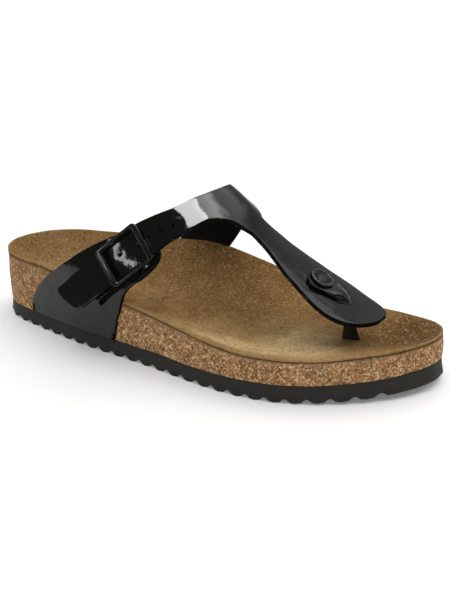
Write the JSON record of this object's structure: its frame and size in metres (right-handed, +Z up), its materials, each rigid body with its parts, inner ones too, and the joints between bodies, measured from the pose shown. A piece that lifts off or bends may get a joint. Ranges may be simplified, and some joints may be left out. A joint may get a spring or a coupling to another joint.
{
  "type": "thong sandal",
  "caption": "Right thong sandal with T-strap and side buckle, contoured cork footbed, suede cover and lugged sole, to wear on a foot.",
  "frame": {"origin": "middle of the shoe's bounding box seen from above, on the floor", "axes": "+X from heel to toe, +Y towards the big-toe side, +Z up"},
  "size_m": [0.2648, 0.0942, 0.0891],
  "materials": {
    "foam_black": "matt foam rubber",
    "cork": "sealed granulated cork",
    "suede_tan": "napped suede",
    "patent_black": "patent, high gloss",
    "buckle_black": "glossy paint",
    "button_black": "semi gloss"
  },
  "bodies": {
    "root": {"outsole": "foam_black", "footbed": "cork", "insole": "suede_tan", "upper": "patent_black", "lateral_strap": "patent_black", "toe_post": "patent_black", "buckle_frame": "buckle_black", "buckle_prong": "buckle_black", "toe_button": "button_black"}
  },
  "joints": []
}
